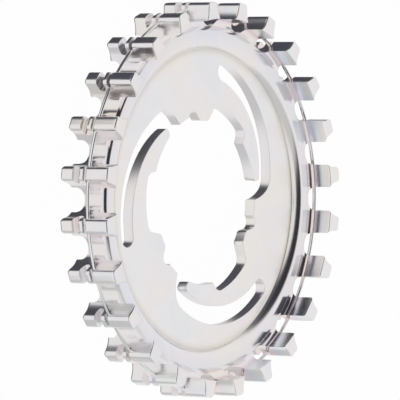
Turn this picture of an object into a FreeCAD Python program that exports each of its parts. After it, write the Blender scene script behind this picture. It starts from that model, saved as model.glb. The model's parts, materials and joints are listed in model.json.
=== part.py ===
import FreeCAD, Part
import Sketcher
import math
import os
import re

# Rear belt drive sprocket: a turned and milled steel disc with 24 belt teeth, a rounded bead
# inside the teeth, a thin web with a three-lobed hub opening, and a guide wire round the teeth.
# It lies front face up on the back ends of its teeth: the axis is Z and the floor is z = 0.
# A space between two teeth is centred on the X axis.  Lengths in millimetres, angles in degrees.

sizes = {
    # teeth, with sloping flanks and flat ends
    "tooth_count": 24,
    "tip_radius": 41.4,
    "tooth_length": 12.0,
    "tooth_height": 3.64,
    "tooth_tip_width": 2.38,
    "tooth_root_width": 4.5,
    "tooth_corner_chamfer": 0.3,
    "front_tip_rounding": 0.6,
    "back_tip_rounding": 0.45,
    "valley_depth": 1.1,
    "cutter_overrun": 2.0,
    # rim that carries the teeth, which overhang it at the front and at the back
    "front_overhang": 4.37,
    "front_root_fillet": 1.0,
    "back_overhang": 2.7,
    "back_root_fillet": 1.4,
    "rim_back_inner_radius": 32.2,
    # rounded bead on the front of the rim
    "bead_crest_radius": 34.2,
    "bead_rise": 2.07,
    "bead_inner_rounding": 2.4,
    "bead_wall_slope": 72.0,
    "bead_foot_fillet": 0.25,
    # web
    "web_drop": 5.73,
    "web_thickness": 2.4,
    # narrow slot for the guide wire and wide groove behind it, both cut round the teeth
    "wire_slot_drop": 5.55,
    "wire_diameter": 0.6,
    "wire_depth": 1.4,
    "wire_clearance": 0.03,
    "groove_drop": 7.1,
    "groove_width": 1.75,
    "groove_depth": 2.5,
    "groove_corner_chamfer": 0.35,
    # hub opening: a bore past three tabs, then between them a lobe, an arm and a scallop
    "hub_repeats": 3,
    "tab_radius": 16.45,
    "tab_height": 1.35,
    "lobe_depth": 2.3,
    "lobe_centre_angle": 61.8,
    "lobe_span": 34.4,
    "step_lean": 3.6,
    "tab_lean": 6.8,
    "tab_span": 10.1,
    "scallop_lean": 3.9,
    "scallop_depth": 0.45,
    "scallop_span": 8.8,
    "scallop_rounding": 1.6,
    "lobe_corner_rounding": 1.1,
    # curved slot beside each arm, open to the bore at one end, so that the arm is free there
    "hook_centre_radius": 5.75,
    "hook_centre_angle": 98.4,
    "arm_reach": 2.55,
    "hook_width": 3.9,
    "hook_end_angle": 70.9,
    "hook_mouth_angle": -2.6,
    "mouth_corner_angle": -0.6,
    "mouth_knee_reach": 4.48,
    "mouth_knee_angle": 4.76,
    "mouth_ramp_rounding": 9.2,
    "mouth_bend_rounding": 4.0,
    "arm_tip_offset": 3.8,
    "arm_tip_rounding": 0.75,
}

SAME_PLACE = 1e-3

doc = FreeCAD.newDocument("belt_drive_sprocket")
sheet = doc.addObject("Spreadsheet::Sheet", "Sizes")
for row, (name, value) in enumerate(sizes.items(), start=1):
    sheet.set(f"A{row}", name)
    sheet.set(f"B{row}", str(value))
    sheet.setAlias(f"B{row}", name)
doc.recompute()


def from_sheet(expression):
    # Puts the sheet's name before each size that an expression uses.
    return re.sub(r"\b(" + "|".join(sizes) + r")\b", r"Sizes.\1", expression)


def plane_of(body, role):
    return next(item for item in body.Origin.OriginFeatures if item.Role == role)


def new_sketch(body, name, role):
    sketch = body.newObject("Sketcher::SketchObject", name)
    sketch.AttachmentSupport = [(plane_of(body, role), "")]
    sketch.MapMode = "FlatFace"
    return sketch


def new_arc(start, end, radius):
    # A positive radius turns left on the way from start to end, a negative one turns right.
    half_chord = (end - start).Length / 2
    reach = math.sqrt(max(radius**2 - half_chord**2, 0.0))
    left = FreeCAD.Vector(start.y - end.y, end.x - start.x, 0).normalize()
    centre = (start + end) * 0.5 + left * math.copysign(reach, radius)
    return Part.Arc(start, centre - left * radius, end)


def ends_in_order(sketch, index, start):
    # The sketch keeps every arc anticlockwise, so an arc that turns right has its ends swapped.
    first, second = sketch.getPoint(index, 1), sketch.getPoint(index, 2)
    return (1, 2) if (first - start).Length < (second - start).Length else (2, 1)


def draw_outline(sketch, corners):
    # Each corner is (x, y) before a straight run to the next one, or (x, y, radius) before an
    # arc, all as expressions on the sheet's sizes.
    corners = [tuple(from_sheet(part) for part in corner) for corner in corners]

    def number(expression):
        return float(sketch.evalExpression(expression))

    def bind(expression, *constraint):
        place = sketch.addConstraint(Sketcher.Constraint(*constraint, number(expression)))
        sketch.setExpression(f"Constraints[{place}]", expression)

    count = len(corners)
    places = [FreeCAD.Vector(number(corner[0]), number(corner[1]), 0) for corner in corners]
    for index, corner in enumerate(corners):
        start, end = places[index], places[(index + 1) % count]
        run = Part.LineSegment(start, end)
        if len(corner) == 3:
            run = new_arc(start, end, number(corner[2]))
        sketch.addGeometry(run, False)
    ends = [ends_in_order(sketch, index, places[index]) for index in range(count)]
    for index, corner in enumerate(corners):
        following = (index + 1) % count
        sketch.addConstraint(Sketcher.Constraint(
            "Coincident", index, ends[index][1], following, ends[following][0]))
        bind(corner[0], "DistanceX", -1, 1, index, ends[index][0])
        bind(corner[1], "DistanceY", -1, 1, index, ends[index][0])
        if len(corner) == 3:
            bind(f"abs({corner[2]})", "Radius", index)


def polar(radius, angle, centre=("0", "0")):
    return (f"{centre[0]} + ({radius}) * cos({angle})", f"{centre[1]} + ({radius}) * sin({angle})")


def flats(centre, radius, start, end, count):
    # A round cut as short flats: corners on the circle from one angle to the other, both included.
    angles = [f"({start}) + (({end}) - ({start})) * {index} / {count}" for index in range(count + 1)]
    return [polar(radius, angle, centre) for angle in angles]


def mirrored(place):
    return (place[0], f"-({place[1]})")


def cut_through(body, name, sketch):
    pocket = body.newObject("PartDesign::Pocket", name)
    pocket.Profile = sketch
    pocket.Type = "ThroughAll"
    pocket.Midplane = True
    return pocket


def turn_groove(body, name, sketch):
    groove = body.newObject("PartDesign::Groove", name)
    groove.Profile = sketch
    groove.ReferenceAxis = (sketch, ["V_Axis"])
    groove.Angle = 360
    return groove


def repeat_round(body, name, features, count):
    pattern = body.newObject("PartDesign::PolarPattern", name)
    pattern.Originals = features
    pattern.Axis = (plane_of(body, "Z_Axis"), [""])
    pattern.Angle = 360
    pattern.setExpression("Occurrences", from_sheet(count))
    body.Tip = pattern
    return pattern


# Heights and radii that follow from the sizes
root_radius = "(tip_radius - tooth_height)"
web_front = "(tooth_length - web_drop)"
web_back = f"({web_front} - web_thickness)"
rim_edge = "(tooth_length - front_overhang)"
rim_edge_radius = f"({root_radius} - front_root_fillet)"
blank_inner_radius = "(tab_radius / 2)"
wire_ring_radius = "(tip_radius - wire_depth)"
pilot_radius = "(tab_radius + tab_height)"
lobe_radius = f"({pilot_radius} + lobe_depth)"

# The bead: an inner wall at a slope, a rounding up to the crest, and a wide round from the
# crest, where it is level, down to the rim's edge.
crest = f"({web_front} + bead_rise)"
wall_top_radius = "(bead_crest_radius - bead_inner_rounding * sin(bead_wall_slope))"
wall_top = f"({crest} - bead_inner_rounding * (1 - cos(bead_wall_slope)))"
foot_radius = f"({wall_top_radius} - ({wall_top} - {web_front}) / tan(bead_wall_slope))"
foot_reach = "(bead_foot_fillet * tan(bead_wall_slope / 2))"
bead_fall = f"({crest} - {rim_edge})"
bead_run = f"({rim_edge_radius} - bead_crest_radius)"
bead_outer_rounding = f"(({bead_run} ^ 2 + {bead_fall} ^ 2) / (2 * {bead_fall}))"
bead_edge_angle = f"(90 deg - asin({bead_run} / {bead_outer_rounding}))"

# The turned blank: its section runs out along the back, round the band that becomes the
# teeth, and in over the bead and the web.
back_root = flats((f"({root_radius} - back_root_fillet)", "(back_overhang - back_root_fillet)"),
                  "back_root_fillet", "90 deg", "0 deg", 2)
back_tip = flats(("(tip_radius - back_tip_rounding)", "back_tip_rounding"),
                 "back_tip_rounding", "-90 deg", "0 deg", 1)
front_tip = flats(("(tip_radius - front_tip_rounding)", "(tooth_length - front_tip_rounding)"),
                  "front_tip_rounding", "0 deg", "90 deg", 1)
front_root = flats((rim_edge_radius, f"({rim_edge} + front_root_fillet)"),
                   "front_root_fillet", "0 deg", "-90 deg", 2)
bead_outside = flats(("bead_crest_radius", f"({crest} - {bead_outer_rounding})"),
                     bead_outer_rounding, bead_edge_angle, "90 deg", 2)
bead_inside = flats(("bead_crest_radius", f"({crest} - bead_inner_rounding)"),
                    "bead_inner_rounding", "90 deg", "(90 + bead_wall_slope) * 1 deg", 3)
bead_foot = flats((f"({foot_radius} - {foot_reach})", f"({web_front} + bead_foot_fillet)"),
                  "bead_foot_fillet", "(bead_wall_slope - 90) * 1 deg", "-90 deg", 1)

sprocket = doc.addObject("PartDesign::Body", "sprocket_body")
sprocket.Label = "sprocket_body"
section = new_sketch(sprocket, "blank_section", "XZ_Plane")
draw_outline(section, [
    (blank_inner_radius, web_back),
    ("rim_back_inner_radius", web_back),
    ("rim_back_inner_radius", "back_overhang"),
    *back_root,
    (root_radius, "0"),
    *back_tip,
    *front_tip,
    (root_radius, "tooth_length"),
    *front_root,
    *bead_outside[1:],
    *bead_inside[1:],
    *bead_foot,
    (blank_inner_radius, web_front),
])
blank = sprocket.newObject("PartDesign::Revolution", "turned_blank")
blank.Profile = section
blank.ReferenceAxis = (section, ["V_Axis"])
blank.Angle = 360
doc.recompute()

# Grooves turned round the band before the teeth are cut
slot_middle = "(tooth_length - wire_slot_drop - wire_diameter / 2 - wire_clearance)"
slot_half = "(wire_diameter / 2 + wire_clearance)"
slot_floor = f"({wire_ring_radius} - {slot_half})"
outside_radius = "(tip_radius + cutter_overrun)"
slot_section = new_sketch(sprocket, "wire_slot_section", "XZ_Plane")
draw_outline(slot_section, [
    (slot_floor, f"{slot_middle} - {slot_half}"),
    (outside_radius, f"{slot_middle} - {slot_half}"),
    (outside_radius, f"{slot_middle} + {slot_half}"),
    (slot_floor, f"{slot_middle} + {slot_half}"),
])
turn_groove(sprocket, "wire_slot", slot_section)

groove_top = "(tooth_length - groove_drop)"
groove_bottom = f"({groove_top} - groove_width)"
groove_floor = "(tip_radius - groove_depth)"
groove_section = new_sketch(sprocket, "wide_groove_section", "XZ_Plane")
draw_outline(groove_section, [
    (groove_floor, f"{groove_bottom} + groove_corner_chamfer"),
    (f"{groove_floor} + groove_corner_chamfer", groove_bottom),
    (outside_radius, groove_bottom),
    (outside_radius, groove_top),
    (f"{groove_floor} + groove_corner_chamfer", groove_top),
    (groove_floor, f"{groove_top} - groove_corner_chamfer"),
])
turn_groove(sprocket, "wide_groove", groove_section)
doc.recompute()

# One tooth space: a hollow floor between two tooth roots, sloping flanks, and a chamfer where
# each flank meets the tip.  A place on the near flank of the tooth at the space's left is given
# by its radius, and by how wide the tooth is there.
half_pitch = "(180 deg / tooth_count)"


def on_flank(radius, width):
    angle = f"({half_pitch} - asin(({width}) / 2 / ({radius})))"
    return polar(radius, angle)


shoulder_radius = "(tip_radius - tooth_corner_chamfer)"
flank_fall = "((tooth_root_width - tooth_tip_width) / tooth_height)"
shoulder_width = f"(tooth_tip_width + {flank_fall} * tooth_corner_chamfer)"
flat_tip_width = "(tooth_tip_width - 2 * tooth_corner_chamfer)"
root_corner = on_flank(root_radius, "tooth_root_width")
shoulder = on_flank(shoulder_radius, shoulder_width)
tip_edge = on_flank("tip_radius", flat_tip_width)
clear_of_tip = on_flank(outside_radius, flat_tip_width)
valley_floor = f"({root_radius} - valley_depth)"
valley_rise = f"({root_corner[0]} - {valley_floor})"
valley_rounding = f"((({root_corner[1]}) ^ 2 + {valley_rise} ^ 2) / (2 * {valley_rise}))"

space_outline = new_sketch(sprocket, "tooth_space_outline", "XY_Plane")
draw_outline(space_outline, [
    (*root_corner, valley_rounding),
    mirrored(root_corner),
    mirrored(shoulder),
    mirrored(tip_edge),
    mirrored(clear_of_tip),
    clear_of_tip,
    tip_edge,
    shoulder,
])
tooth_space = cut_through(sprocket, "tooth_space", space_outline)
repeat_round(sprocket, "tooth_spaces", [tooth_space], "tooth_count")
doc.recompute()

# Bore past the tabs
bore_outline = new_sketch(sprocket, "bore_outline", "XY_Plane")
bore_circle = Part.Circle(FreeCAD.Vector(0, 0, 0), FreeCAD.Vector(0, 0, 1), sizes["tab_radius"])
bore_outline.addGeometry(bore_circle, False)
bore_outline.addConstraint(Sketcher.Constraint("Coincident", 0, 3, -1, 1))
bore_outline.addConstraint(Sketcher.Constraint("Radius", 0, sizes["tab_radius"]))
bore_outline.setExpression("Constraints[1]", from_sheet("tab_radius"))
cut_through(sprocket, "bore", bore_outline)
doc.recompute()

# A third of the opening outside the bore, anticlockwise: tab flank, scallop, inner side of the
# arm, step, lobe, and the flank of the next tab
lobe_start = "(lobe_centre_angle - lobe_span / 2)"
lobe_end = "(lobe_centre_angle + lobe_span / 2)"
step_foot = f"({lobe_start} - step_lean)"
tab_start = f"({lobe_end} + tab_lean)"
tab_end = f"({tab_start} + tab_span - 360 / hub_repeats)"
scallop_start = f"({tab_end} + scallop_lean)"
scallop_end = f"({scallop_start} + scallop_span)"
third_outline = new_sketch(sprocket, "hub_third_outline", "XY_Plane")
draw_outline(third_outline, [
    ("0", "0"),
    polar("tab_radius", tab_end),
    (*polar(f"{pilot_radius} + scallop_depth", scallop_start), "scallop_rounding"),
    (*polar(pilot_radius, scallop_end), pilot_radius),
    polar(pilot_radius, step_foot),
    (*polar(lobe_radius, lobe_start), lobe_radius),
    polar(lobe_radius, lobe_end),
    polar("tab_radius", tab_start),
])
hub_third = cut_through(sprocket, "hub_third", third_outline)

# The hook slot's two sides are arcs about one centre off the axis.  From the mouth, where the
# slot opens into the bore, the outline runs along the outer side to the closed end and back
# along the arm to its flat tip.
hook_centre = polar("hook_centre_radius", "hook_centre_angle")
hook_inner = f"({pilot_radius} + arm_reach)"
hook_outer = f"({hook_inner} + hook_width)"
closed_end = polar(f"{hook_inner} + hook_width / 2", "hook_end_angle", hook_centre)
arm_tip_reach = f"sqrt({hook_inner} ^ 2 - (arm_tip_offset - ({hook_centre[1]})) ^ 2)"
mouth_corner = polar(pilot_radius, "mouth_corner_angle")
hook_outline = new_sketch(sprocket, "hook_slot_outline", "XY_Plane")
draw_outline(hook_outline, [
    ("tab_radius", mouth_corner[1]),
    (*mouth_corner, "mouth_ramp_rounding"),
    (*polar(f"{pilot_radius} + mouth_knee_reach", "mouth_knee_angle"), "mouth_bend_rounding"),
    (*polar(hook_outer, "hook_mouth_angle", hook_centre), hook_outer),
    (*polar(hook_outer, "hook_end_angle", hook_centre), "hook_width / 2"),
    (*polar("hook_width / 2", "hook_end_angle + 90", closed_end), "hook_width / 2"),
    (*polar(hook_inner, "hook_end_angle", hook_centre), f"-{hook_inner}"),
    (f"{hook_centre[0]} + {arm_tip_reach}", "arm_tip_offset"),
    ("tab_radius", "arm_tip_offset"),
])
hook_slot = cut_through(sprocket, "hook_slot", hook_outline)
hub_pattern = repeat_round(sprocket, "hub_thirds", [hub_third, hook_slot], "hub_repeats")
doc.recompute()


# Upright edges round the opening, picked by where they stand, are rounded.
def measure(expression):
    return float(sheet.evalExpression(from_sheet(expression)))


def stands_at(edge, places):
    box = edge.BoundBox
    if math.hypot(box.XLength, box.YLength) > SAME_PLACE:
        return False
    return any(math.hypot(box.Center.x - x, box.Center.y - y) < SAME_PLACE for x, y in places)


def round_uprights(name, corners, rounding):
    base = sprocket.Tip
    places = []
    for x, y in ((measure(x), measure(y)) for x, y in corners):
        for index in range(sizes["hub_repeats"]):
            turn = 2 * math.pi * index / sizes["hub_repeats"]
            places.append((x * math.cos(turn) - y * math.sin(turn),
                           x * math.sin(turn) + y * math.cos(turn)))
    edges = [f"Edge{number}" for number, edge in enumerate(base.Shape.Edges, start=1)
             if stands_at(edge, places)]
    fillet = sprocket.newObject("PartDesign::Fillet", name)
    fillet.Base = (base, edges)
    fillet.setExpression("Radius", from_sheet(rounding))
    sprocket.Tip = fillet
    doc.recompute()


round_uprights("lobe_corners", [
    polar(lobe_radius, lobe_start),
    polar(lobe_radius, lobe_end),
    polar("tab_radius", tab_start),
    polar("tab_radius", tab_end),
], "lobe_corner_rounding")
round_uprights("arm_tips", [
    (f"{hook_centre[0]} + {arm_tip_reach}", "arm_tip_offset"),
    (f"sqrt({pilot_radius} ^ 2 - arm_tip_offset ^ 2)", "arm_tip_offset"),
], "arm_tip_rounding")

# Guide wire: a closed ring of round wire, its section cut as flats, that lies in the narrow
# slots and crosses the spaces between the teeth
wire = doc.addObject("PartDesign::Body", "guide_wire")
wire.Label = "guide_wire"
wire_section = new_sketch(wire, "wire_section", "XZ_Plane")
draw_outline(wire_section, flats((wire_ring_radius, slot_middle), "wire_diameter / 2",
                                 "30 deg", "330 deg", 5))
wire_ring = wire.newObject("PartDesign::Revolution", "wire_ring")
wire_ring.Profile = wire_section
wire_ring.ReferenceAxis = (wire_section, ["V_Axis"])
wire_ring.Angle = 360
doc.recompute()

pieces = (sprocket, wire)
failed = [item.Name for item in doc.Objects if {"Invalid", "Error"} & set(item.State)]
failed += [piece.Label for piece in pieces if piece.Shape.isNull() or not piece.Shape.isValid()]
if failed:
    raise RuntimeError(f"failed to build: {failed}")

os.makedirs("parts", exist_ok=True)
for piece in pieces:
    piece.Shape.exportStep(f"parts/{piece.Label}.step")
    print(piece.Label, f"{piece.Shape.Volume:.1f} mm3,", len(piece.Shape.Faces), "faces")
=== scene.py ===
import bpy
import bmesh
import json
from math import asin, atan2, cos, degrees, hypot, pi, radians, sin, sqrt, tan
from mathutils import Matrix, Vector

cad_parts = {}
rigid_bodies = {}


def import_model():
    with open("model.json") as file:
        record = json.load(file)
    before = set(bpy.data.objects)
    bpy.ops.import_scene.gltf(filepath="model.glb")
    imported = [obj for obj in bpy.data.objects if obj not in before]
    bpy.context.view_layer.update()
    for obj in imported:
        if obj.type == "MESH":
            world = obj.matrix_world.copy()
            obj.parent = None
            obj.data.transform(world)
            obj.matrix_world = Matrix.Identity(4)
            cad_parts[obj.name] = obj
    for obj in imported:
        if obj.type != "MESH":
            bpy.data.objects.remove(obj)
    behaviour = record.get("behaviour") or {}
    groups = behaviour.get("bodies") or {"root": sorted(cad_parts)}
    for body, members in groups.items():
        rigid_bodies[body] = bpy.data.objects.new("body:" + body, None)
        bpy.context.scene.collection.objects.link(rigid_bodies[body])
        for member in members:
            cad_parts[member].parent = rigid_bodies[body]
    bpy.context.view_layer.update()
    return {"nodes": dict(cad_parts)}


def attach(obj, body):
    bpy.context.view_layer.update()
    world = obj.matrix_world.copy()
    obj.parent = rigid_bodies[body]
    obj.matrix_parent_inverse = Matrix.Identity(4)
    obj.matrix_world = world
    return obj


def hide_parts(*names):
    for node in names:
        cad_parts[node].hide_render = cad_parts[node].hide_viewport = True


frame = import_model()
print("frame loaded:", sorted(frame["nodes"]))

mm = 0.001  # the frame is in metres; sizes here are in mm, and angles in degrees
samePlace = 0.002 * mm
nearEdge = 0.05 * mm  # this close to the web's outer circle counts as on it
sameCorner = 0.02  # mm, between a corner in an outline and in the mesh


def deselectAll():
    if bpy.context.object and bpy.context.object.mode != "OBJECT":
        bpy.ops.object.mode_set(mode="OBJECT")
    bpy.ops.object.select_all(action="DESELECT")


def pick(piece):
    deselectAll()
    piece.select_set(True)
    bpy.context.view_layer.objects.active = piece


def arcPoints(centre, radius, startDeg, endDeg, steps):
    angles = [radians(startDeg + (endDeg - startDeg) * i / steps) for i in range(steps + 1)]
    return [(centre[0] + radius * cos(a), centre[1] + radius * sin(a)) for a in angles]


def polarPoint(radius, deg):
    return (radius * cos(radians(deg)), radius * sin(radians(deg)))


def arcBetween(start, end, radius, steps):  # positive radius turns left from start to end
    sx, sy = start
    ex, ey = end
    half = hypot(ex - sx, ey - sy) / 2
    reach = sqrt(max(radius * radius - half * half, 0.0)) * (1 if radius > 0 else -1)
    lx, ly = (sy - ey) / (2 * half), (ex - sx) / (2 * half)
    cx, cy = (sx + ex) / 2 + lx * reach, (sy + ey) / 2 + ly * reach
    a0, a1 = degrees(atan2(sy - cy, sx - cx)), degrees(atan2(ey - cy, ex - cx))
    if radius > 0 and a1 < a0:
        a1 += 360
    if radius < 0 and a1 > a0:
        a1 -= 360
    return arcPoints((cx, cy), abs(radius), a0, a1, steps)


def runOn(start, end, further):  # the point this far past end on the line from start
    length = hypot(end[0] - start[0], end[1] - start[1])
    return tuple(e + (e - s) * further / length for s, e in zip(start, end))


def outlineFace(name, outline, place):  # a circle whose points are moved onto the outline
    deselectAll()
    bpy.ops.mesh.primitive_circle_add(vertices=len(outline), radius=1.0, fill_type="NGON")
    piece = bpy.context.object
    piece.name = name
    for vertex, point in zip(piece.data.vertices, outline):
        vertex.co = place(*point)
    return piece


def flatAt(z):
    return lambda x, y: Vector((x * mm, y * mm, z * mm))


def uprightAt(r, z):
    return Vector((r * mm, 0, z * mm))


def loft(name, rings):  # rings of (outline, height), each extruded up from the one before
    outline, height = rings[0]
    piece = outlineFace(name, outline, flatAt(height))
    bpy.ops.object.mode_set(mode="EDIT")
    bpy.ops.mesh.select_all(action="SELECT")
    for (before, _), (after, high) in zip(rings, rings[1:]):
        bpy.ops.mesh.extrude_region_move()
        mesh = bmesh.from_edit_mesh(piece.data)
        for vertex in [v for v in mesh.verts if v.select]:
            x, y = vertex.co.x / mm, vertex.co.y / mm
            nearest = min(range(len(before)), key=lambda i: hypot(before[i][0] - x, before[i][1] - y))
            vertex.co = flatAt(high)(*after[nearest])
        bmesh.update_edit_mesh(piece.data)
    bpy.ops.mesh.select_all(action="SELECT")
    bpy.ops.mesh.normals_make_consistent(inside=False)
    bpy.ops.object.mode_set(mode="OBJECT")
    return piece


def turn(name, section, steps):  # a closed section spun once round the axis
    piece = outlineFace(name, section, uprightAt)
    bpy.ops.object.mode_set(mode="EDIT")
    bpy.ops.mesh.select_all(action="SELECT")
    bpy.ops.mesh.delete(type="ONLY_FACE")
    bpy.ops.mesh.select_all(action="SELECT")
    bpy.ops.mesh.spin(steps=steps, angle=2 * pi, center=(0, 0, 0), axis=(0, 0, 1))
    bpy.ops.mesh.select_all(action="SELECT")
    bpy.ops.mesh.remove_doubles(threshold=samePlace)
    bpy.ops.mesh.normals_make_consistent(inside=False)
    bpy.ops.object.mode_set(mode="OBJECT")
    return piece


def turnedCopy(piece, index, count):  # a copy turned about the axis, with a mesh of its own
    copy = piece.copy()
    copy.data = piece.data.copy()
    copy.data.transform(Matrix.Rotation(2 * pi * index / count, 4, "Z"))
    bpy.context.scene.collection.objects.link(copy)
    return copy


def joinPieces(pieces):
    deselectAll()
    for piece in pieces:
        piece.select_set(True)
    bpy.context.view_layer.objects.active = pieces[0]
    bpy.ops.object.join()
    return pieces[0]


def cutAway(piece, tool):
    pick(piece)
    cut = piece.modifiers.new("cut", "BOOLEAN")
    cut.operation = "DIFFERENCE"
    cut.solver = "EXACT"
    cut.object = tool
    bpy.ops.object.modifier_apply(modifier=cut.name)
    bpy.data.objects.remove(tool)


def selectEdges(piece, wanted):  # in edit mode, the edges for which wanted(edge) is true
    pick(piece)
    bpy.ops.object.mode_set(mode="EDIT")
    bpy.ops.mesh.select_mode(type="EDGE")
    bpy.ops.mesh.select_all(action="DESELECT")
    mesh = bmesh.from_edit_mesh(piece.data)
    found = [edge for edge in mesh.edges if wanted(edge)]
    for edge in found:
        edge.select_set(True)
    bmesh.update_edit_mesh(piece.data)
    return len(found)


def deleteFaces(piece, wanted):
    pick(piece)
    bpy.ops.object.mode_set(mode="EDIT")
    bpy.ops.mesh.select_mode(type="FACE")
    bpy.ops.mesh.select_all(action="DESELECT")
    mesh = bmesh.from_edit_mesh(piece.data)
    found = [face for face in mesh.faces if wanted(face)]
    for face in found:
        face.select_set(True)
    bmesh.update_edit_mesh(piece.data)
    bpy.ops.mesh.delete(type="FACE")
    bpy.ops.object.mode_set(mode="OBJECT")
    return len(found)


def smooth(piece, angleDeg):
    pick(piece)
    bpy.ops.object.shade_smooth_by_angle(angle=radians(angleDeg))
    weigh = piece.modifiers.new("weigh", "WEIGHTED_NORMAL")
    weigh.keep_sharp = True
    weigh.weight = 80
    bpy.ops.object.modifier_apply(modifier=weigh.name)


def turned(places, count):
    turns = [2 * pi * i / count for i in range(count)]
    return [(x * cos(t) - y * sin(t), x * sin(t) + y * cos(t)) for t in turns for x, y in places]


# the sprocket body: a turned ring with its teeth cut in it, and a flat web
sprocketLook = {
    "spinSteps": 360,
    "webRadius": 30.6,  # where the flat web meets the turned ring
    "toothCount": 24,
    "tipRadius": 41.4,
    "toothLength": 12.0,
    "toothHeight": 3.64,
    "toothTipWidth": 2.6,
    "toothRootWidth": 4.85,
    "toothFlareHeight": 0.9,
    "toothFlareWidth": 3.4,
    "toothCornerRounding": 1.0,
    "toothEndRounding": 0.3,
    "toothBackRounding": 0.6,
    "frontTipRounding": 0.45,
    "backTipRounding": 0.6,
    "edgeBreak": 0.12,
    "underRounding": 0.25,
    "valleyDepth": 1.5,
    "frontOverhang": 4.9,
    "frontRootFillet": 1.0,
    "backOverhang": 2.7,
    "backRootFillet": 1.4,
    "rimBackInner": 32.2,
    "rimBackFillet": 0.5,
    "beadCrestRadius": 33.75,
    "beadRise": 1.48,
    "beadInnerRounding": 2.65,
    "beadWallSlope": 58.0,
    "beadFootFillet": 0.25,
    "beadEdgeRadius": 34.93,
    "beadEdgeRounding": 1.6,
    "beadEdgeTurn": 50.0,
    "webDrop": 5.73,
    "webThickness": 2.4,
    "slotDrop": 5.34,
    "slotWidth": 0.84,
    "slotFloor": 39.47,
    "grooveDrop": 7.1,
    "grooveWidth": 1.75,
    "grooveDepth": 2.5,
    "grooveRounding": 0.8,
    "endReach": 1.0,  # how far a cutting piece runs past an end, and past the tips
    "tipReach": 2.0,
    "smoothAngle": 32,
}
body = sprocketLook
rootRadius = body["tipRadius"] - body["toothHeight"]
webFront = body["toothLength"] - body["webDrop"]
webBack = webFront - body["webThickness"]
rimEdge = body["toothLength"] - body["frontOverhang"]


def beadSection():  # in from the ditch under the teeth, over the bead and down to the web
    crestR, crestZ = body["beadCrestRadius"], webFront + body["beadRise"]
    edge, edgeTurn = body["beadEdgeRounding"], body["beadEdgeTurn"]
    outside = arcPoints((body["beadEdgeRadius"], crestZ - edge), edge, 90 - edgeTurn, 90, 8)
    lowR = outside[0][0] + (outside[0][1] - rimEdge) / tan(radians(edgeTurn))
    inner, slope, foot = body["beadInnerRounding"], body["beadWallSlope"], body["beadFootFillet"]
    topR = crestR - inner * sin(radians(slope))
    topZ = crestZ - inner * (1 - cos(radians(slope)))
    footR = topR - (topZ - webFront) / tan(radians(slope))
    footCentre = (footR - foot * tan(radians(slope / 2)), webFront + foot)
    points = [(rootRadius - body["frontRootFillet"], rimEdge), (lowR, rimEdge)] + outside
    points += arcPoints((crestR, crestZ - inner), inner, 90, 90 + slope, 20)
    points += arcPoints(footCentre, foot, slope - 90, -90, 6)
    return points


def outerSection():  # up the tips of the teeth, in and out of the wide groove and the wire slot
    tip, length, soft = body["tipRadius"], body["toothLength"], body["edgeBreak"]
    grooveTop = length - body["grooveDrop"]
    grooveBottom = grooveTop - body["grooveWidth"]
    grooveFloor, bend = tip - body["grooveDepth"], body["grooveRounding"]
    slotTop = length - body["slotDrop"]
    slotBottom = slotTop - body["slotWidth"]
    back, front = body["backTipRounding"], body["frontTipRounding"]
    points = arcPoints((tip - back, back), back, -90, 0, 6)
    points += arcPoints((tip - soft, grooveBottom - soft), soft, 0, 90, 2)
    points += arcPoints((grooveFloor + bend, grooveBottom + bend), bend, -90, -180, 5)
    points += arcPoints((grooveFloor + bend, grooveTop - bend), bend, 180, 90, 5)
    points += arcPoints((tip - soft, grooveTop + soft), soft, -90, 0, 2)
    points += arcPoints((tip - soft, slotBottom - soft), soft, 0, 90, 2)
    points += [(body["slotFloor"], slotBottom), (body["slotFloor"], slotTop)]
    points += arcPoints((tip - soft, slotTop + soft), soft, -90, 0, 2)
    points += arcPoints((tip - front, length - front), front, 0, 90, 5)
    return points


def ringSection():
    length, under = body["toothLength"], body["underRounding"]
    back, front, rim = body["backRootFillet"], body["frontRootFillet"], body["rimBackFillet"]
    backZ = body["backOverhang"]
    points = [(body["webRadius"], webBack)]
    points += arcPoints((body["rimBackInner"] - rim, webBack - rim), rim, 90, 0, 4)
    points += arcPoints((body["rimBackInner"] + under, backZ + under), under, 180, 270, 3)
    points += arcPoints((rootRadius - back, backZ - back), back, 90, 0, 8)
    points += arcPoints((rootRadius + under, under), under, 180, 270, 3)
    points += outerSection()
    points += arcPoints((rootRadius + under, length - under), under, 90, 180, 3)
    points += arcPoints((rootRadius - front, rimEdge + front), front, 0, -90, 8)
    points += beadSection()[1:]
    points += [(body["webRadius"], webFront)]
    return points


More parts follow.
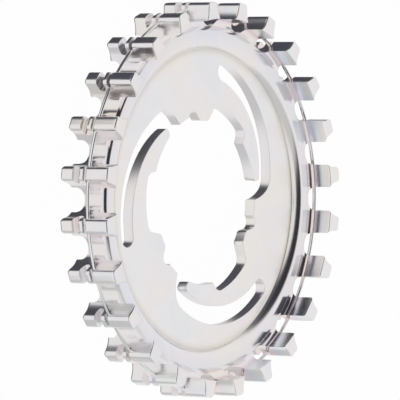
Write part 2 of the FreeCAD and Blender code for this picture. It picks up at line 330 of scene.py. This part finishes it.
def toothSpaceOutline(narrower):  # between two teeth, each this much narrower on either side
    half = radians(180 / body["toothCount"])
    tip, corner = body["tipRadius"], body["toothCornerRounding"]
    rootHalf = body["toothRootWidth"] / 2 - narrower
    fall = (body["toothRootWidth"] - body["toothTipWidth"]) / 2 / body["toothHeight"]
    rootAlong = sqrt(rootRadius ** 2 - rootHalf ** 2)
    flare = (rootRadius + body["toothFlareHeight"], body["toothFlareWidth"] / 2 - narrower)

    def onTooth(along, across):  # along the tooth's middle line, and across it to the space
        return (along * cos(half) + across * sin(half), along * sin(half) - across * cos(half))

    cornerAlong = tip - corner
    flankAcross = rootHalf - fall * (cornerAlong - rootRadius)
    lean = atan2(flare[1] - flankAcross, cornerAlong - flare[0])
    cornerAcross = flankAcross - corner / cos(lean)
    rounding = arcPoints((cornerAlong, cornerAcross), corner, 90 - degrees(lean), 0, 5)
    leads = ((rootAlong, rootHalf), flare, rounding[0])
    flank = []  # sweeps out towards the root
    for t in (i / 6 for i in range(1, 6)):
        shares = ((1 - t) ** 2, 2 * t * (1 - t), t * t)
        flank += [tuple(sum(share * lead[k] for share, lead in zip(shares, leads)) for k in (0, 1))]

    rootCorner = onTooth(rootAlong, rootHalf)
    floorMiddle = rootRadius - body["valleyDepth"]
    rise = rootCorner[0] - floorMiddle
    floorRadius = (rootCorner[1] ** 2 + rise ** 2) / (2 * rise)
    sweep = degrees(asin(rootCorner[1] / floorRadius))
    floor = arcPoints((floorMiddle + floorRadius, 0), floorRadius, 180, 180 - sweep, 8)
    upper = floor + [onTooth(*point) for point in flank + rounding]
    upper += [onTooth(tip + body["tipReach"], cornerAcross)]
    lower = [(x, -y) for x, y in upper[1:]]
    return upper + lower[::-1]


def toothSpaceCutter():
    length, reach = body["toothLength"], body["endReach"]
    front, back = body["toothEndRounding"], body["toothBackRounding"]
    steps = [radians(90 * i / 5) for i in range(6)]
    rings = [(toothSpaceOutline(back), -reach)]
    rings += [(toothSpaceOutline(back * (1 - sin(a))), back * (1 - cos(a))) for a in steps]
    for a in reversed(steps):
        rings += [(toothSpaceOutline(front * (1 - sin(a))), length - front * (1 - cos(a)))]
    rings += [(toothSpaceOutline(front), length + reach)]
    one = loft("toothSpaces", rings)
    count = body["toothCount"]
    return joinPieces([one] + [turnedCopy(one, index, count) for index in range(1, count)])


hubLook = {
    "repeats": 3,
    "tabRadius": 16.45,
    "pilotRadius": 17.8,
    "lobeRadius": 20.1,
    "lobeCentre": 61.8,
    "lobeSpan": 34.4,
    "stepLean": 3.6,
    "tabLean": 6.8,
    "tabSpan": 10.1,
    "scallopLean": 3.9,
    "scallopRadius": 18.25,
    "scallopSpan": 8.8,
    "scallopRounding": 1.6,
    "lobeRounding": 1.2,
    "tabRounding": 0.66,
    "tipRounding": 0.75,
    "hookCentre": (5.75, 98.4),
    "hookLine": 22.3,
    "hookWidth": 3.9,
    "hookEnd": 70.9,
    "hookMouth": -2.6,
    "mouthCorner": -0.6,
    "mouthKnee": (22.28, 4.76),
    "mouthRamp": 9.2,
    "mouthBend": 4.0,
    "armTipOffset": 3.8,
    "edgeBreak": 0.14,
    "edgeAngle": 0.7,  # radians; an edge sharper than this is broken
    "edgeInside": 0.2,  # but none this near the web's outer circle
    "cutPast": 1.5,  # how far the openings run in past the tabs
    "boreSteps": 240,
}
hub = hubLook
lobeStart = hub["lobeCentre"] - hub["lobeSpan"] / 2
lobeEnd = hub["lobeCentre"] + hub["lobeSpan"] / 2
tabStart = lobeEnd + hub["tabLean"]
tabEnd = tabStart + hub["tabSpan"] - 360 / hub["repeats"]
hookInner = hub["hookLine"] - hub["hookWidth"] / 2
hookOuter = hub["hookLine"] + hub["hookWidth"] / 2
hookMiddle = polarPoint(*hub["hookCentre"])


def hubThirdOutline():
    scallopStart = tabEnd + hub["scallopLean"]
    scallopEnd = scallopStart + hub["scallopSpan"]
    scallopFoot = polarPoint(hub["scallopRadius"], scallopStart)
    scallopTop = polarPoint(hub["pilotRadius"], scallopEnd)
    lobe = arcPoints((0, 0), hub["lobeRadius"], lobeStart, lobeEnd, 9)
    outline = [(0, 0)]
    outline += [runOn(scallopFoot, polarPoint(hub["tabRadius"], tabEnd), hub["cutPast"])]
    outline += arcBetween(scallopFoot, scallopTop, hub["scallopRounding"], 6)
    outline += arcPoints((0, 0), hub["pilotRadius"], scallopEnd, lobeStart - hub["stepLean"], 14)[1:]
    outline += lobe
    outline += [runOn(lobe[-1], polarPoint(hub["tabRadius"], tabStart), hub["cutPast"])]
    return outline


def hookOutline():
    def about(radius, deg):
        x, y = polarPoint(radius, deg)
        return (hookMiddle[0] + x, hookMiddle[1] + y)

    inside = hub["tabRadius"] - body["endReach"]
    corner = polarPoint(hub["pilotRadius"], hub["mouthCorner"])
    knee = polarPoint(*hub["mouthKnee"])
    capMiddle = about(hub["hookLine"], hub["hookEnd"])
    tipDeg = degrees(asin((hub["armTipOffset"] - hookMiddle[1]) / hookInner))
    outline = [(inside, corner[1])]
    outline += arcBetween(corner, knee, hub["mouthRamp"], 6)
    outline += arcBetween(knee, about(hookOuter, hub["hookMouth"]), hub["mouthBend"], 6)[1:]
    outline += arcPoints(hookMiddle, hookOuter, hub["hookMouth"], hub["hookEnd"], 32)[1:]
    outline += arcPoints(capMiddle, hub["hookWidth"] / 2, hub["hookEnd"], hub["hookEnd"] + 180, 14)[1:]
    outline += arcPoints(hookMiddle, hookInner, hub["hookEnd"], tipDeg, 16)[1:]
    outline += [(inside, hub["armTipOffset"])]
    return outline


def roundUprights(piece, places, width):  # bevels the upright edges that stand at these places
    def stands(edge):
        a, b = edge.verts[0].co, edge.verts[1].co
        if hypot(a.x - b.x, a.y - b.y) > samePlace or abs(a.z - b.z) < mm:
            return False
        return any(hypot(a.x / mm - x, a.y / mm - y) < sameCorner for x, y in places)

    found = selectEdges(piece, stands)
    bpy.ops.mesh.bevel(offset=width * mm, segments=6, affect="EDGES", clamp_overlap=False)
    bpy.ops.object.mode_set(mode="OBJECT")
    print("rounded uprights:", found)


def makeWeb():  # the flat web with the hub opening, its outside left open to meet the ring
    circle = arcPoints((0, 0), body["webRadius"], 0, 360, body["spinSteps"])[:-1]
    web = loft("web", [(circle, webBack), (circle, webFront)])
    low, high, repeats = webBack - body["endReach"], webFront + body["endReach"], hub["repeats"]
    bore = arcPoints((0, 0), hub["tabRadius"], 0, 360, hub["boreSteps"])[:-1]
    cutAway(web, loft("bore", [(bore, low), (bore, high)]))
    for outline in (hubThirdOutline(), hookOutline()):
        one = loft("opening", [(outline, low), (outline, high)])
        for tool in [one] + [turnedCopy(one, index, repeats) for index in range(1, repeats)]:
            cutAway(web, tool)
    lobeCorners = [polarPoint(hub["lobeRadius"], lobeStart), polarPoint(hub["lobeRadius"], lobeEnd)]
    tabCorners = [polarPoint(hub["tabRadius"], tabStart), polarPoint(hub["tabRadius"], tabEnd)]
    offset = hub["armTipOffset"]
    armTips = [(hookMiddle[0] + sqrt(hookInner ** 2 - (offset - hookMiddle[1]) ** 2), offset),
               (sqrt(hub["pilotRadius"] ** 2 - offset ** 2), offset)]
    roundUprights(web, turned(lobeCorners, repeats), hub["lobeRounding"])
    roundUprights(web, turned(tabCorners, repeats), hub["tabRounding"])
    roundUprights(web, turned(armTips, repeats), hub["tipRounding"])

    def rimOfOpening(edge):
        a, b = edge.verts[0].co, edge.verts[1].co
        outer = (body["webRadius"] - hub["edgeInside"]) * mm
        if abs(a.z - b.z) > samePlace or max(a.xy.length, b.xy.length) > outer:
            return False
        return edge.calc_face_angle(0.0) > hub["edgeAngle"]

    def onOutside(face):
        outer = body["webRadius"] * mm - nearEdge
        return all(v.co.xy.length > outer for v in face.verts) and abs(face.normal.z) < 0.5

    found = selectEdges(web, rimOfOpening)
    bpy.ops.mesh.bevel(offset=hub["edgeBreak"] * mm, segments=2, affect="EDGES", clamp_overlap=False,
                       loop_slide=False)
    bpy.ops.object.mode_set(mode="OBJECT")
    print("web cut, edges broken round the opening:", found)
    print("open side of the web:", deleteFaces(web, onOutside))
    return web


def makeRing():
    def onInside(face):
        inner = body["webRadius"] * mm + nearEdge
        return all(v.co.xy.length < inner for v in face.verts)

    ring = turn("ring", ringSection(), body["spinSteps"])
    cutAway(ring, toothSpaceCutter())
    print("tooth spaces cut, open side of the ring:", deleteFaces(ring, onInside))
    return ring


def makeSprocket():
    piece = joinPieces([makeRing(), makeWeb()])
    piece.name = "sprocketBody"
    piece.data.name = "sprocketBody"
    bpy.ops.object.mode_set(mode="EDIT")
    bpy.ops.mesh.select_all(action="SELECT")
    bpy.ops.mesh.remove_doubles(threshold=samePlace)
    bpy.ops.mesh.normals_make_consistent(inside=False)
    bpy.ops.object.mode_set(mode="OBJECT")
    smooth(piece, body["smoothAngle"])
    print("sprocket body:", len(piece.data.polygons), "faces")
    return piece


sprocketBody = makeSprocket()

# the guide wire, a closed ring that lies in the slot round the teeth
wireLook = {
    "ringRadius": 39.87,
    "height": 6.24,
    "wireRadius": 0.39,
    "around": 288,
    "section": 16,
    "colour": (0.93, 0.93, 0.93),
    "markScale": 900.0,
    "roughness": (0.10, 0.18),
}


def makeWire():
    deselectAll()
    bpy.ops.mesh.primitive_torus_add(
        location=(0, 0, wireLook["height"] * mm), major_radius=wireLook["ringRadius"] * mm,
        minor_radius=wireLook["wireRadius"] * mm, major_segments=wireLook["around"],
        minor_segments=wireLook["section"])
    piece = bpy.context.object
    piece.name = "guideWire"
    bpy.ops.object.transform_apply(location=True, rotation=True, scale=True)
    bpy.ops.object.shade_smooth()
    return piece


guideWire = makeWire()
print("guide wire made")


def newMaterial(name):
    material = bpy.data.materials.new(name)
    material.use_nodes = True
    nodes, links = material.node_tree.nodes, material.node_tree.links
    nodes.clear()
    return material, nodes, links


def placed(nodes, kind, x, y, **values):
    node = nodes.new(kind)
    node.location = (x, y)
    for key, value in values.items():
        setattr(node, key, value)
    return node


def mapped(tree, source, span, levels, x, y, kind="LINEAR"):  # takes a span of values to new levels
    node = placed(tree.nodes, "ShaderNodeMapRange", x, y, interpolation_type=kind)
    for socket, value in zip(("From Min", "From Max", "To Min", "To Max"), (*span, *levels)):
        node.inputs[socket].default_value = value
    tree.links.new(source, node.inputs["Value"])
    return node.outputs["Result"]


def joined(tree, kind, first, second, x, y):
    node = placed(tree.nodes, "ShaderNodeMath", x, y, operation=kind)
    tree.links.new(first, node.inputs[0])
    tree.links.new(second, node.inputs[1])
    return node.outputs["Value"]


def noise(tree, vector, scale, detail, x, y):
    node = placed(tree.nodes, "ShaderNodeTexNoise", x, y)
    node.inputs["Scale"].default_value = scale
    node.inputs["Detail"].default_value = detail
    tree.links.new(vector, node.inputs["Vector"])
    return node.outputs["Fac"]


def tinted(tree, factor, stops, x, y):  # stops of (place from 0 to 1, colour), in order
    ramp = placed(tree.nodes, "ShaderNodeValToRGB", x, y)
    elements = ramp.color_ramp.elements
    for _ in stops[2:]:
        elements.new(0.5)
    for element, (where, colour) in zip(elements, stops):
        element.position = where
        element.color = (*colour, 1)
    tree.links.new(factor, ramp.inputs["Fac"])
    return ramp.outputs["Color"]


steelLook = {
    "webTints": [(0.30, (0.94, 0.955, 0.94)), (0.40, (0.935, 0.925, 0.96)),
                 (0.47, (0.965, 0.955, 0.955)), (0.55, (0.975, 0.935, 0.945)),
                 (0.66, (0.98, 0.95, 0.915))],
    # plating tints across the ring by radius, with painted shade in the bead's concave foot (31.2) and
    # in the ditch under the teeth (37.4)
    "ringTintsAndPaintedShade": [(29.9, (1.0, 1.0, 1.0)), (30.6, (0.985, 0.95, 0.915)), (31.2, (0.86, 0.85, 0.80)),
                  (31.8, (1.0, 0.99, 0.97)), (33.4, (0.965, 0.96, 0.985)), (35.6, (0.92, 0.925, 0.965)),
                  (36.1, (0.98, 0.98, 0.99)), (36.4, (0.99, 0.95, 0.935)), (36.9, (0.99, 0.98, 0.98)),
                  (37.4, (0.94, 0.90, 0.95))],
    # on the teeth, tints with painted sheen that differ by side: at the left by radius
    "leftSideTintsAndPaintedSheen": [(37.4, (0.98, 0.965, 0.98)), (37.9, (0.985, 0.955, 0.95)),
                  (39.2, (0.99, 0.975, 0.96)), (40.4, (0.985, 0.985, 0.985))],
    # at the right a painted reflection along each tooth, darker near the root of the front overhang and
    # lighter towards the front end
    "rightSideTintsAndPaintedReflection": [(7.5, (0.98, 0.91, 0.91)), (8.4, (0.92, 0.88, 0.97)), (9.3, (0.89, 0.93, 0.99)),
                   (10.2, (0.90, 0.975, 0.97)), (11.2, (0.98, 0.985, 0.94)), (11.8, (1.0, 1.0, 1.0))],
    "tintFrom": 28.0,  # radii between which the tints are spread
    "tintTo": 42.0,
    "tintScale": 85.0,
    "sideBlend": 10.0,
    "beadStart": 31.4,  # radii where the bead and the teeth start, and how wide each change is
    "beadBlend": 1.2,
    "toothStart": 37.0,
    "toothBlend": 0.6,
    "brushBlend": 0.8,
    "webRoughness": 0.26,
    "beadRoughness": 0.15,
    "toothRoughness": 0.2,
    "turnedLines": 9000.0,
    "turnedBump": 0.10,
    "brushMarks": (4200.0, 4200.0, 260.0),  # they run along the teeth
    "brushedBump": 0.6,
    "markDepth": 0.02,
}


def makeSteel():
    material, nodes, links = newMaterial("platedSteel")
    tree, look = material.node_tree, steelLook
    output = placed(nodes, "ShaderNodeOutputMaterial", 900, 0)
    steel = placed(nodes, "ShaderNodeBsdfPrincipled", 600, 0)
    steel.inputs["Metallic"].default_value = 1.0
    links.new(steel.outputs["BSDF"], output.inputs["Surface"])
    place = placed(nodes, "ShaderNodeTexCoord", -1400, 0).outputs["Object"]
    split = placed(nodes, "ShaderNodeSeparateXYZ", -1200, 300)
    links.new(place, split.inputs["Vector"])
    flat = placed(nodes, "ShaderNodeCombineXYZ", -1000, 300)
    links.new(split.outputs["X"], flat.inputs["X"])
    links.new(split.outputs["Y"], flat.inputs["Y"])
    fromAxis = placed(nodes, "ShaderNodeVectorMath", -800, 300, operation="LENGTH")
    links.new(flat.outputs["Vector"], fromAxis.inputs[0])
    radius = fromAxis.outputs["Value"]

    def overRadius(start, width, low, high, x, y):
        return mapped(tree, radius, (start * mm, (start + width) * mm), (low, high), x, y)

    def mixed(factor, first, second, x, y):
        mix = placed(nodes, "ShaderNodeMix", x, y, data_type="RGBA")
        for source, socket in ((factor, "Factor"), (first, "A"), (second, "B")):
            links.new(source, mix.inputs[socket])
        return mix.outputs["Result"]

    # plating tints over the web, and across the ring tints with painted shade in the bead's foot and in
    # the ditch under the teeth;
    # then on the teeth tints with painted sheen and reflection that differ by side: by radius at the
    # left, and along each tooth at the right, where the shading of each tooth's underside is painted in
    low, high, length = look["tintFrom"], look["tintTo"], body["toothLength"]
    spread = overRadius(low, high - low, 0.0, 1.0, -900, -400)
    ring, left = ([((r - low) / (high - low), colour) for r, colour in look[part]]
                  for part in ("ringTintsAndPaintedShade", "leftSideTintsAndPaintedSheen"))
    right = [(z / length, colour) for z, colour in look["rightSideTintsAndPaintedReflection"]]
    blend, tooth = look["sideBlend"] * mm, look["toothStart"]
    along = mapped(tree, split.outputs["Z"], (0.0, length * mm), (0.0, 1.0), -900, -1000)
    toLeft = mapped(tree, split.outputs["X"], (-blend, blend), (1.0, 0.0), -900, -700)
    leftTeethPaintedSheen = tinted(tree, spread, left, -600, -650)
    rightTeethPaintedReflection = tinted(tree, along, right, -600, -900)
    teeth = mixed(toLeft, rightTeethPaintedReflection, leftTeethPaintedSheen, -250, -700)
    toTeeth = overRadius(tooth, look["toothBlend"], 0.0, 1.0, -500, -1200)
    outer = mixed(toTeeth, tinted(tree, spread, ring, -600, -400), teeth, -100, -500)
    clouds = noise(tree, place, look["tintScale"], 2.0, -900, -100)
    soft = tinted(tree, clouds, look["webTints"], -600, -100)
    whole = placed(nodes, "ShaderNodeMix", 100, -200, data_type="RGBA", blend_type="MULTIPLY")
    whole.inputs["Factor"].default_value = 1.0
    links.new(soft, whole.inputs["A"])
    links.new(outer, whole.inputs["B"])
    links.new(whole.outputs["Result"], steel.inputs["Base Color"])

    bead, onTeeth = look["beadRoughness"], look["toothRoughness"]
    zone = overRadius(look["beadStart"], look["beadBlend"], look["webRoughness"], bead, -500, 300)
    extra = overRadius(tooth, look["brushBlend"], 0.0, onTeeth - bead, -500, 50)
    links.new(joined(tree, "ADD", zone, extra, -200, 200), steel.inputs["Roughness"])

    rings = placed(nodes, "ShaderNodeMath", -600, 550, operation="MULTIPLY")
    rings.inputs[1].default_value = look["turnedLines"]
    links.new(radius, rings.inputs[0])
    turning = placed(nodes, "ShaderNodeCombineXYZ", -400, 550)
    links.new(rings.outputs["Value"], turning.inputs["X"])
    bump = placed(nodes, "ShaderNodeBump", 100, 500)
    bump.inputs["Strength"].default_value = look["turnedBump"]
    bump.inputs["Distance"].default_value = look["markDepth"] * mm
    links.new(noise(tree, turning.outputs["Vector"], 1.0, 3.0, -200, 550), bump.inputs["Height"])

    drawn = placed(nodes, "ShaderNodeMapping", -600, 850)
    drawn.inputs["Scale"].default_value = look["brushMarks"]
    links.new(place, drawn.inputs["Vector"])
    brushed = placed(nodes, "ShaderNodeBump", 300, 600)
    brushed.inputs["Distance"].default_value = look["markDepth"] * mm
    links.new(overRadius(tooth, look["brushBlend"], 0.0, look["brushedBump"], -350, 1100),
              brushed.inputs["Strength"])
    links.new(noise(tree, drawn.outputs["Vector"], 1.0, 2.0, -350, 850), brushed.inputs["Height"])
    links.new(bump.outputs["Normal"], brushed.inputs["Normal"])
    links.new(brushed.outputs["Normal"], steel.inputs["Normal"])
    return material


def makeBrightWire():
    material, nodes, links = newMaterial("brightWire")
    output = placed(nodes, "ShaderNodeOutputMaterial", 600, 0)
    steel = placed(nodes, "ShaderNodeBsdfPrincipled", 300, 0)
    steel.inputs["Metallic"].default_value = 1.0
    steel.inputs["Base Color"].default_value = (*wireLook["colour"], 1)
    links.new(steel.outputs["BSDF"], output.inputs["Surface"])
    place = placed(nodes, "ShaderNodeTexCoord", -600, 0).outputs["Object"]
    marks = noise(material.node_tree, place, wireLook["markScale"], 2.0, -400, 0)
    rough = mapped(material.node_tree, marks, (0.0, 1.0), wireLook["roughness"], -100, 0)
    links.new(rough, steel.inputs["Roughness"])
    return material


sprocketBody.data.materials.clear()
sprocketBody.data.materials.append(makeSteel())
guideWire.data.materials.clear()
guideWire.data.materials.append(makeBrightWire())

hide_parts("sprocket_body")
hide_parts("guide_wire")
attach(sprocketBody, "root")
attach(guideWire, "root")
print("finishes set")

# the floor, the light all round and the camera; the light goes by direction
studioLook = {
    "floorSize": 6.0,
    "floorColour": (0.92, 0.92, 0.92),
    "floorGlow": 0.98,
    "brightLevel": 0.82,
    "darkFrom": -0.52,  # the dark band between the two soft lights, across X
    "darkTo": 0.30,
    "darkSoft": 0.10,
    "topLevel": 0.036,  # the band overhead
    "levelWithFloor": 0.17,
    "topBlend": (0.05, 0.60),
    "paleSide": 0.57,  # the band on the -Y side
    "paleBlend": (-0.36, -0.10),
    "lowLevel": 0.08,  # low down on the +Y side, up to the light at the left
    "lowBlend": (-0.50, -0.25),
    "farBlend": (0.30, 0.50),
    "leftBlend": (-0.45, -0.22),
    "darkColour": (0.80, 0.82, 1.0),
    "darkest": (0.0, 0.4),  # levels over which that colour fades out
    "spotAt": (-0.80393, 0.01257, 0.59460),  # a small dark spot in the light at the left
    "spotEdge": (0.9962, 0.9986),
    "spotLevel": 0.06,
    "camera": (-845.8095, 13.0656, 630.6595),
    "right": (0.59471, 0.00892, 0.80389),
    "up": (0.00480, 0.99988, -0.01465),
    "forward": (0.80393, -0.01257, -0.59460),
    "lens": 452.6,
}


def makeFloor():
    deselectAll()
    bpy.ops.mesh.primitive_plane_add(size=studioLook["floorSize"])
    floor = bpy.context.object
    floor.name = "floor"
    material, nodes, links = newMaterial("paleFloor")
    output = placed(nodes, "ShaderNodeOutputMaterial", 900, 0)
    diffuse = placed(nodes, "ShaderNodeBsdfDiffuse", 0, 100)
    diffuse.inputs["Color"].default_value = (*studioLook["floorColour"], 1)
    glow = placed(nodes, "ShaderNodeEmission", 0, -100)
    share = placed(nodes, "ShaderNodeMixShader", 300, 0)
    path = placed(nodes, "ShaderNodeLightPath", 0, 400)
    level = placed(nodes, "ShaderNodeMath", 150, 300, operation="MULTIPLY")
    level.inputs[1].default_value = studioLook["floorGlow"]
    links.new(path.outputs["Is Camera Ray"], level.inputs[0])
    links.new(level.outputs["Value"], share.inputs["Fac"])
    links.new(diffuse.outputs["BSDF"], share.inputs[1])
    links.new(glow.outputs["Emission"], share.inputs[2])
    links.new(share.outputs["Shader"], output.inputs["Surface"])
    floor.data.materials.append(material)
    floor.visible_glossy = False  # the metal shows the studio all round
    return floor


def makeWorld():
    world = bpy.data.worlds.new("studio")
    bpy.context.scene.world = world
    world.use_nodes = True
    tree, look = world.node_tree, studioLook
    nodes, links = tree.nodes, tree.links
    nodes.clear()
    output = placed(nodes, "ShaderNodeOutputWorld", 900, 0)
    background = placed(nodes, "ShaderNodeBackground", 700, 0)
    links.new(background.outputs["Background"], output.inputs["Surface"])
    place = placed(nodes, "ShaderNodeTexCoord", -900, 0).outputs["Generated"]
    split = placed(nodes, "ShaderNodeSeparateXYZ", -700, 0)
    links.new(place, split.inputs["Vector"])
    across, toFar, upward = (split.outputs[axis] for axis in "XYZ")

    def eased(source, span, low, high, x, y):
        return mapped(tree, source, span, (low, high), x, y, kind="SMOOTHSTEP")

    def leaned(factor, first, level, x, y):  # from a link to one plain level
        mix = placed(nodes, "ShaderNodeMix", x, y, data_type="FLOAT")
        links.new(factor, mix.inputs["Factor"])
        links.new(first, mix.inputs["A"])
        mix.inputs["B"].default_value = level
        return mix.outputs["Result"]

    def edgeAt(where):
        return (where - look["darkSoft"], where + look["darkSoft"])

    left = eased(across, edgeAt(look["darkFrom"]), 1.0, 0.0, -450, 200)
    right = eased(across, edgeAt(look["darkTo"]), 0.0, 1.0, -450, -100)
    top = eased(upward, look["topBlend"], look["levelWithFloor"], look["topLevel"], -450, -400)
    side = eased(toFar, look["paleBlend"], look["paleSide"], 0.0, -450, -700)
    band = joined(tree, "MAXIMUM", top, side, -200, -300)
    lit = leaned(joined(tree, "MAXIMUM", left, right, -200, 100), band, look["brightLevel"], 0, 0)

    below = eased(upward, look["lowBlend"], 1.0, 0.0, -450, -1300)
    beyond = eased(toFar, look["farBlend"], 0.0, 1.0, -450, -1600)
    rightward = eased(across, look["leftBlend"], 0.0, 1.0, -450, -1900)
    lowFar = joined(tree, "MULTIPLY", below, beyond, -200, -1400)
    lowCorner = joined(tree, "MULTIPLY", lowFar, rightward, -50, -1500)
    lowered = leaned(lowCorner, lit, look["lowLevel"], 100, -300)

    toSpot = placed(nodes, "ShaderNodeVectorMath", -450, -1000, operation="DOT_PRODUCT")
    toSpot.inputs[1].default_value = look["spotAt"]
    links.new(place, toSpot.inputs[0])
    spot = eased(toSpot.outputs["Value"], look["spotEdge"], 1.0, look["spotLevel"], -200, -900)
    spotted = joined(tree, "MULTIPLY", lowered, spot, 200, 0)
    seen = placed(nodes, "ShaderNodeLightPath", 100, 400).outputs["Is Camera Ray"]
    shown = joined(tree, "MAXIMUM", seen, spotted, 400, 100)
    links.new(shown, background.inputs["Strength"])
    shade = placed(nodes, "ShaderNodeMix", 550, -200, data_type="RGBA")
    links.new(eased(shown, look["darkest"], 0.0, 1.0, 300, -500), shade.inputs["Factor"])
    shade.inputs["A"].default_value = (*look["darkColour"], 1)
    shade.inputs["B"].default_value = (1, 1, 1, 1)
    links.new(shade.outputs["Result"], background.inputs["Color"])
    return world


def makeCamera():
    look = studioLook
    data = bpy.data.cameras.new("camera")
    data.sensor_width = 36.0
    data.lens = look["lens"]
    data.clip_start = 0.01
    data.clip_end = 20.0
    camera = bpy.data.objects.new("camera", data)
    bpy.context.scene.collection.objects.link(camera)
    right, up, forward = (Vector(look[k]).normalized() for k in ("right", "up", "forward"))
    turnOf = Matrix((right, up, -forward)).transposed().to_4x4()
    camera.matrix_world = Matrix.Translation(Vector(look["camera"]) * mm) @ turnOf
    bpy.context.scene.camera = camera
    return camera


makeFloor()
makeWorld()
makeCamera()
bpy.context.scene.view_settings.view_transform = "Standard"
print("studio set")
